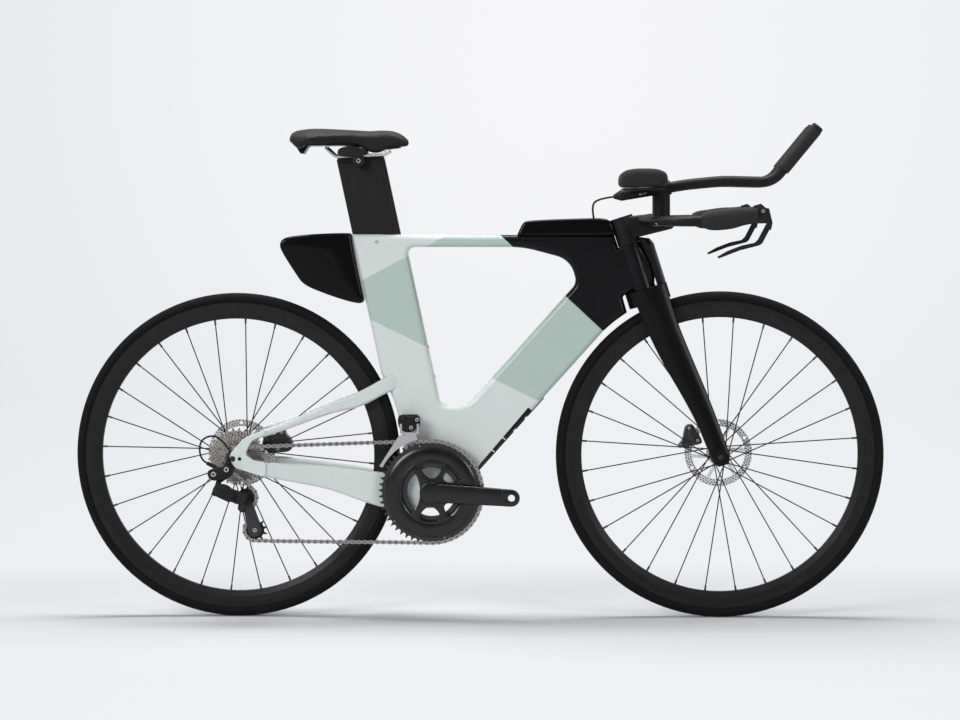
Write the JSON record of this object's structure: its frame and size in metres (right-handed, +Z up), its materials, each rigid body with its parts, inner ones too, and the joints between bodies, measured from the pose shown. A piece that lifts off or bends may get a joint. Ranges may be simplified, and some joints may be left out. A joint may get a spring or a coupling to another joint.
{
  "type": "time trial bike",
  "caption": "Time trial bicycle with an aero frame, storage boxes, base bar with brake levers, forearm rests and upturned extensions, disc brakes and a derailleur drivetrain.",
  "frame": {"origin": "on the ground, midway between the two axles, in the middle plane", "axes": "+X forward along the bike, +Y to the rider's left, +Z up"},
  "size_m": [1.6658, 0.4266, 1.0123],
  "materials": {
    "frame_paint": "gloss paint over a moulded frame",
    "black_trim": "satin black",
    "black_carbon": "lacquered carbon fibre",
    "saddle_cover": "smooth black cover",
    "saddle_base": "moulded base",
    "foam": "soft black foam",
    "grip_rubber": "ribbed rubber",
    "tyre_rubber": "black tread",
    "dark_alloy": "anodised black",
    "steel": "bare steel",
    "spoke_steel": "black bladed steel",
    "cable_cover": "black sleeve"
  },
  "bodies": {
    "frame": {"front_triangle": "frame_paint", "right_stays": "frame_paint", "left_stays": "frame_paint", "down_tube_guard": "black_trim", "bottom_bracket_bearings": "steel", "headset_bearings": "steel", "seatpost": "black_carbon", "saddle_clamp": "dark_alloy", "saddle_rails": "steel", "saddle_shell": "saddle_base", "saddle_pad": "saddle_cover", "rear_storage_box": "black_trim", "top_tube_box": "black_trim", "derailleur_hanger": "dark_alloy", "rear_axle": "steel", "rear_caliper": "dark_alloy", "rear_brake_pads": "steel", "mech_upper_knuckle": "dark_alloy", "front_mech_mount": "black_trim", "rear_mech_cable": "cable_cover", "bar_cables": "cable_cover", "chain": "steel"},
    "steering": {"fork": "black_carbon", "nose_piece": "black_trim", "base_bar": "black_carbon", "extension_risers": "black_trim", "arm_cups": "black_trim", "arm_pads": "foam", "extensions": "black_carbon", "extension_grips": "grip_rubber", "extension_plugs": "black_trim", "bar_grips": "grip_rubber", "front_axle": "steel", "front_caliper": "dark_alloy", "front_brake_pads": "steel"},
    "right_lever": {"right_brake_lever": "dark_alloy"},
    "left_lever": {"left_brake_lever": "dark_alloy"},
    "front_wheel": {"front_tyre": "tyre_rubber", "front_rim": "black_carbon", "front_spokes": "spoke_steel", "front_hub": "dark_alloy", "front_rotor": "steel"},
    "rear_wheel": {"rear_tyre": "tyre_rubber", "rear_rim": "black_carbon", "rear_spokes": "spoke_steel", "rear_hub": "dark_alloy", "rear_rotor": "steel"},
    "crankset": {"right_crank": "dark_alloy", "left_crank": "dark_alloy", "big_chainring": "dark_alloy", "small_chainring": "dark_alloy"},
    "sprockets": {"cassette": "steel", "freehub_body": "steel"},
    "mech_outer": {"mech_outer_link": "dark_alloy"},
    "mech_inner": {"mech_inner_link": "dark_alloy"},
    "mech_knuckle": {"mech_lower_knuckle": "dark_alloy"},
    "mech_cage": {"mech_cage": "black_trim"},
    "guide_pulley": {"guide_pulley": "black_trim"},
    "tension_pulley": {"tension_pulley": "black_trim"},
    "front_mech": {"front_mech_cage": "steel"}
  },
  "joints": [
    {"name": "steering_turn", "type": "hinge", "parent": "frame", "child": "steering", "pos_m": [0.45408, 0, 0.32247], "axis": [-0.3007, 0, 0.9537], "range_deg": [-40, 40], "deforming": ["bar_cables"]},
    {"name": "right_lever_pull", "type": "hinge", "parent": "steering", "child": "right_lever", "pos_m": [0.57076, -0.198, 0.83582], "axis": [0, 1, 0], "range_deg": [0, 20], "stiffness_Nm_per_rad": 0.6, "springref_deg": -28.65},
    {"name": "left_lever_pull", "type": "hinge", "parent": "steering", "child": "left_lever", "pos_m": [0.57076, 0.198, 0.83582], "axis": [0, 1, 0], "range_deg": [0, 20], "stiffness_Nm_per_rad": 0.6, "springref_deg": -28.65},
    {"name": "front_wheel_spin", "type": "hinge", "parent": "steering", "child": "front_wheel", "pos_m": [0.497, 0, 0.336], "axis": [0, 1, 0], "continuous": true},
    {"name": "rear_wheel_spin", "type": "hinge", "parent": "frame", "child": "rear_wheel", "pos_m": [-0.497, 0, 0.336], "axis": [0, 1, 0], "continuous": true},
    {"name": "crank_turn", "type": "hinge", "parent": "frame", "child": "crankset", "pos_m": [-0.09337, 0, 0.264], "axis": [0, 1, 0], "continuous": true, "deforming": ["chain"]},
    {"name": "sprocket_spin", "type": "hinge", "parent": "frame", "child": "sprockets", "pos_m": [-0.497, 0, 0.336], "axis": [0, 1, 0], "continuous": true},
    {"name": "mech_shift", "type": "hinge", "parent": "frame", "child": "mech_outer", "pos_m": [-0.52938, -0.1015, 0.27552], "axis": [0.31, 0.4226, 0.8517], "range_deg": [0, 36], "deforming": ["rear_mech_cable"]},
    {"name": "mech_inner_swing", "type": "hinge", "parent": "frame", "child": "mech_inner", "pos_m": [-0.52938, -0.0865, 0.27552], "axis": [0.31, 0.4226, 0.8517], "range_deg": [0, 36]},
    {"name": "mech_knuckle_swing", "type": "hinge", "parent": "mech_outer", "child": "mech_knuckle", "pos_m": [-0.473, -0.1015, 0.255], "axis": [0.31, 0.4226, 0.8517], "range_deg": [-36, 0]},
    {"name": "cage_tension", "type": "hinge", "parent": "mech_knuckle", "child": "mech_cage", "pos_m": [-0.473, -0.066, 0.255], "axis": [0, 1, 0], "range_deg": [-25, 20]},
    {"name": "guide_spin", "type": "hinge", "parent": "mech_cage", "child": "guide_pulley", "pos_m": [-0.473, -0.066, 0.255], "axis": [0, 1, 0], "continuous": true},
    {"name": "tension_spin", "type": "hinge", "parent": "mech_cage", "child": "tension_pulley", "pos_m": [-0.45446, -0.066, 0.18854], "axis": [0, 1, 0], "continuous": true},
    {"name": "front_mech_shift", "type": "hinge", "parent": "frame", "child": "front_mech", "pos_m": [-0.13737, -0.033, 0.40497], "axis": [1, 0, 0], "range_deg": [0, 8]}
  ],
  "couplings": [
    {"joint": "sprocket_spin", "follows": "crank_turn", "ratio": 4.7273},
    {"joint": "guide_spin", "follows": "crank_turn", "ratio": -4.7273},
    {"joint": "tension_spin", "follows": "crank_turn", "ratio": 4.7273},
    {"joint": "mech_inner_swing", "follows": "mech_shift", "ratio": 1},
    {"joint": "mech_knuckle_swing", "follows": "mech_shift", "ratio": -1}
  ]
}
